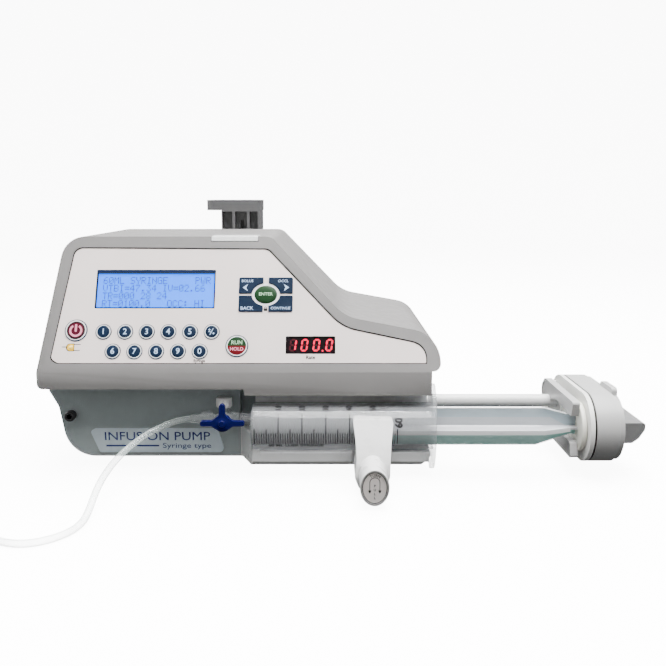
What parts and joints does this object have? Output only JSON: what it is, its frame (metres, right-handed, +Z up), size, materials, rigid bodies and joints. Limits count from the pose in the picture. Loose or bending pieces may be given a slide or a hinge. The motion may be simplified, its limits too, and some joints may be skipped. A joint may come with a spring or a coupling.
{
  "type": "infusion pump",
  "caption": "Benchtop syringe infusion pump with a leaning keypad panel, a syringe held in a front cradle, a sliding pusher head and a loose infusion line.",
  "frame": {"origin": "bottom centre of the pump's box, on the surface it stands on, measured without the loose infusion line", "axes": "+X to the pump's right along the syringe, towards the pusher head; +Y to the back; +Z up"},
  "size_m": [0.4508, 0.3467, 0.1752],
  "materials": {
    "case_plastic": "fine-textured moulded casing",
    "panel_film": "printed polycarbonate overlay",
    "housing_plastic": "fine-textured moulded housing",
    "cradle_plastic": "smooth moulded cradle",
    "white_plastic": "satin moulded",
    "ivory_plastic": "satin moulded",
    "clear_plastic": "clear moulded plastic",
    "key_navy": "domed key top",
    "key_red": "domed key top",
    "key_green": "domed key top",
    "tap_blue": "satin moulded",
    "display_lcd": "lit display window",
    "display_led": "dark display window",
    "lamp_lens": "frosted lens",
    "label_film": "printed label",
    "black_rubber": "smooth rubber",
    "black_plastic": "fine-textured",
    "clamp_grey": "powder coat",
    "steel": "turned",
    "board": "circuit board",
    "cell_wrap": "shrink wrap"
  },
  "bodies": {
    "base": {"upper_casing": "case_plastic", "lower_housing": "housing_plastic", "front_panel": "panel_film", "lcd_window": "display_lcd", "rate_window": "display_led", "mains_lamp": "lamp_lens", "alarm_lens": "lamp_lens", "label_plate": "label_film", "side_socket": "black_plastic", "foot_left": "black_rubber", "foot_right": "black_rubber", "syringe_cradle": "cradle_plastic", "syringe_barrel": "clear_plastic", "stopcock_body": "clear_plastic", "side_cap": "white_plastic", "luer_connector": "clear_plastic", "line_tube": "clear_plastic", "line_coil": "clear_plastic", "line_end_connector": "white_plastic", "drive_frame": "steel", "stepper_motor": "black_plastic", "battery_pack": "cell_wrap", "main_board": "board", "mains_inlet": "black_plastic", "clamp_spring": "steel"},
    "pusher": {"drive_tube": "white_plastic", "head_body": "white_plastic", "head_face": "ivory_plastic", "head_cover": "white_plastic", "plunger_rod": "clear_plastic", "plunger_seal": "black_rubber", "carriage": "steel"},
    "clutch": {"clutch_knob": "white_plastic"},
    "upper_claw": {"upper_claw": "white_plastic"},
    "lower_claw": {"lower_claw": "white_plastic"},
    "screw": {"lead_screw": "steel"},
    "pinion": {"motor_pinion": "steel"},
    "clamp_slide": {"clamp_rod": "steel"},
    "clamp_arm": {"clamp_arm": "white_plastic"},
    "tap_handle": {"stopcock_handle": "tap_blue"},
    "rail_clamp": {"rail_clamp": "clamp_grey"},
    "rail_screw": {"rail_screw": "steel"},
    "key_power": {"key_power": "key_red"},
    "key_run_hold": {"key_run_hold": "key_green"},
    "key_enter": {"key_enter": "key_green"},
    "key_left": {"key_left": "key_navy"},
    "key_right": {"key_right": "key_navy"},
    "key_back": {"key_back": "key_navy"},
    "key_continue": {"key_continue": "key_navy"},
    "key_1": {"key_1": "key_navy"},
    "key_2": {"key_2": "key_navy"},
    "key_3": {"key_3": "key_navy"},
    "key_4": {"key_4": "key_navy"},
    "key_5": {"key_5": "key_navy"},
    "key_point": {"key_point": "key_navy"},
    "key_6": {"key_6": "key_navy"},
    "key_7": {"key_7": "key_navy"},
    "key_8": {"key_8": "key_navy"},
    "key_9": {"key_9": "key_navy"},
    "key_0": {"key_0": "key_navy"}
  },
  "joints": [
    {"name": "pusher_slide", "type": "slide", "parent": "base", "child": "pusher", "axis": [1, 0, 0], "range_m": [-0.067, 0.02]},
    {"name": "clutch_turn", "type": "hinge", "parent": "pusher", "child": "clutch", "pos_m": [0.1742, -0.0555, 0.02975], "axis": [1, 0, 0], "range_deg": [0, 60], "stiffness_Nm_per_rad": 0.05, "springref_deg": -11.46},
    {"name": "upper_claw_swing", "type": "hinge", "parent": "pusher", "child": "upper_claw", "pos_m": [0.1482, -0.0055, 0.0466], "axis": [1, 0, 0], "range_deg": [-7.2, 0]},
    {"name": "lower_claw_swing", "type": "hinge", "parent": "pusher", "child": "lower_claw", "pos_m": [0.1482, -0.0055, 0.0166], "axis": [1, 0, 0], "range_deg": [0, 7.2]},
    {"name": "clamp_pull", "type": "slide", "parent": "base", "child": "clamp_slide", "axis": [0, -1, 0], "range_m": [0, 0.025], "stiffness_N_per_m": 150, "springref_m": -0.01, "deforming": ["clamp_spring"]},
    {"name": "clamp_turn", "type": "hinge", "parent": "clamp_slide", "child": "clamp_arm", "pos_m": [0.0182, -0.0955, 0.0133], "axis": [0, 1, 0], "range_deg": [-90, 90]},
    {"name": "stopcock_turn", "type": "hinge", "parent": "base", "child": "tap_handle", "pos_m": [-0.0759, -0.0755, 0.0364], "axis": [0, 1, 0], "range_deg": [-90, 90]},
    {"name": "rail_clamp_swivel", "type": "hinge", "parent": "base", "child": "rail_clamp", "pos_m": [-0.0798, 0.0895, 0.126], "axis": [0, 1, 0], "range_deg": [0, 90]},
    {"name": "rail_screw_travel", "type": "slide", "parent": "rail_clamp", "child": "rail_screw", "axis": [0, 0, 1], "range_m": [0, 0.025]},
    {"name": "lead_screw_turn", "type": "hinge", "parent": "base", "child": "screw", "pos_m": [-0.0058, 0.0005, 0.0364], "axis": [1, 0, 0], "range_deg": [-6060, 1815]},
    {"name": "motor_turn", "type": "hinge", "parent": "base", "child": "pinion", "pos_m": [-0.0058, 0.01565, 0.0364], "axis": [1, 0, 0], "range_deg": [-3630, 12120]},
    {"name": "key_power_press", "type": "slide", "parent": "base", "child": "key_power", "axis": [0, 0.9063, -0.4226], "range_m": [0, 0.0006], "stiffness_N_per_m": 400, "springref_m": -0.0005},
    {"name": "key_run_hold_press", "type": "slide", "parent": "base", "child": "key_run_hold", "axis": [0, 0.9063, -0.4226], "range_m": [0, 0.0006], "stiffness_N_per_m": 400, "springref_m": -0.0005},
    {"name": "key_enter_press", "type": "slide", "parent": "base", "child": "key_enter", "axis": [0, 0.9063, -0.4226], "range_m": [0, 0.0006], "stiffness_N_per_m": 400, "springref_m": -0.0005},
    {"name": "key_left_press", "type": "slide", "parent": "base", "child": "key_left", "axis": [0, 0.9063, -0.4226], "range_m": [0, 0.0006], "stiffness_N_per_m": 400, "springref_m": -0.0005},
    {"name": "key_right_press", "type": "slide", "parent": "base", "child": "key_right", "axis": [0, 0.9063, -0.4226], "range_m": [0, 0.0006], "stiffness_N_per_m": 400, "springref_m": -0.0005},
    {"name": "key_back_press", "type": "slide", "parent": "base", "child": "key_back", "axis": [0, 0.9063, -0.4226], "range_m": [0, 0.0006], "stiffness_N_per_m": 400, "springref_m": -0.0005},
    {"name": "key_continue_press", "type": "slide", "parent": "base", "child": "key_continue", "axis": [0, 0.9063, -0.4226], "range_m": [0, 0.0006], "stiffness_N_per_m": 400, "springref_m": -0.0005},
    {"name": "key_1_press", "type": "slide", "parent": "base", "child": "key_1", "axis": [0, 0.9063, -0.4226], "range_m": [0, 0.0006], "stiffness_N_per_m": 400, "springref_m": -0.0005},
    {"name": "key_2_press", "type": "slide", "parent": "base", "child": "key_2", "axis": [0, 0.9063, -0.4226], "range_m": [0, 0.0006], "stiffness_N_per_m": 400, "springref_m": -0.0005},
    {"name": "key_3_press", "type": "slide", "parent": "base", "child": "key_3", "axis": [0, 0.9063, -0.4226], "range_m": [0, 0.0006], "stiffness_N_per_m": 400, "springref_m": -0.0005},
    {"name": "key_4_press", "type": "slide", "parent": "base", "child": "key_4", "axis": [0, 0.9063, -0.4226], "range_m": [0, 0.0006], "stiffness_N_per_m": 400, "springref_m": -0.0005},
    {"name": "key_5_press", "type": "slide", "parent": "base", "child": "key_5", "axis": [0, 0.9063, -0.4226], "range_m": [0, 0.0006], "stiffness_N_per_m": 400, "springref_m": -0.0005},
    {"name": "key_point_press", "type": "slide", "parent": "base", "child": "key_point", "axis": [0, 0.9063, -0.4226], "range_m": [0, 0.0006], "stiffness_N_per_m": 400, "springref_m": -0.0005},
    {"name": "key_6_press", "type": "slide", "parent": "base", "child": "key_6", "axis": [0, 0.9063, -0.4226], "range_m": [0, 0.0006], "stiffness_N_per_m": 400, "springref_m": -0.0005},
    {"name": "key_7_press", "type": "slide", "parent": "base", "child": "key_7", "axis": [0, 0.9063, -0.4226], "range_m": [0, 0.0006], "stiffness_N_per_m": 400, "springref_m": -0.0005},
    {"name": "key_8_press", "type": "slide", "parent": "base", "child": "key_8", "axis": [0, 0.9063, -0.4226], "range_m": [0, 0.0006], "stiffness_N_per_m": 400, "springref_m": -0.0005},
    {"name": "key_9_press", "type": "slide", "parent": "base", "child": "key_9", "axis": [0, 0.9063, -0.4226], "range_m": [0, 0.0006], "stiffness_N_per_m": 400, "springref_m": -0.0005},
    {"name": "key_0_press", "type": "slide", "parent": "base", "child": "key_0", "axis": [0, 0.9063, -0.4226], "range_m": [0, 0.0006], "stiffness_N_per_m": 400, "springref_m": -0.0005}
  ],
  "couplings": [
    {"joint": "lead_screw_turn", "follows": "pusher_slide", "rad_per_m": 1570.8},
    {"joint": "motor_turn", "follows": "pusher_slide", "rad_per_m": -3141.6},
    {"joint": "upper_claw_swing", "follows": "clutch_turn", "ratio": -0.1166},
    {"joint": "lower_claw_swing", "follows": "clutch_turn", "ratio": 0.1166}
  ]
}
